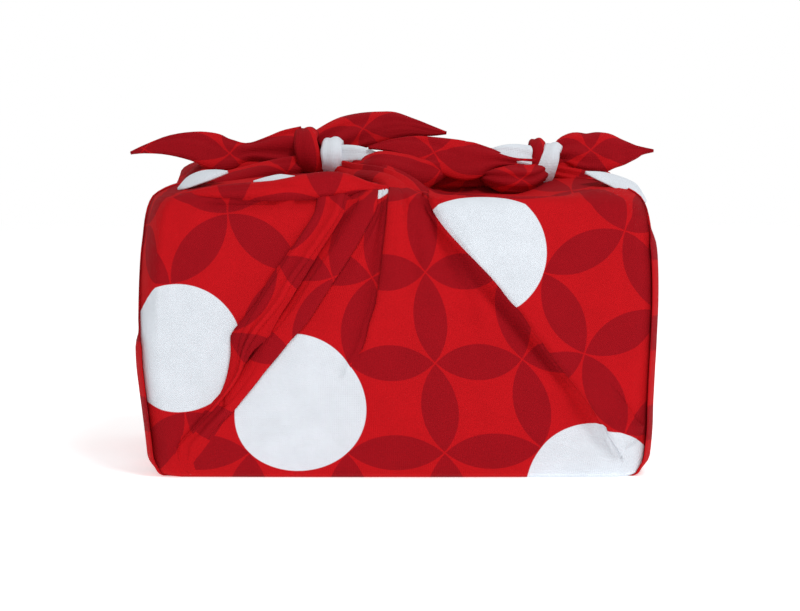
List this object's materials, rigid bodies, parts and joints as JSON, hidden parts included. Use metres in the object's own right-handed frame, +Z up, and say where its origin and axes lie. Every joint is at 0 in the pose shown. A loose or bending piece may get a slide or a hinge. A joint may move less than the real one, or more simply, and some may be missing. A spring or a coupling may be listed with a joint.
{
  "type": "furoshiki wrap",
  "caption": "Square cotton furoshiki wrapped round a box-shaped load and knotted along the top, red with tonal interlocking circles and large white dots.",
  "frame": {"origin": "middle of the flat base, on the surface it rests on", "axes": "+Z up, -Y towards the front face with the diagonal pleats, +X to the right when facing the front"},
  "size_m": [0.2772, 0.1816, 0.1848],
  "materials": {
    "printed_cotton": "matt plain weave, printed"
  },
  "bodies": {
    "root": {"furoshiki_cloth": "printed_cotton"}
  },
  "joints": []
}
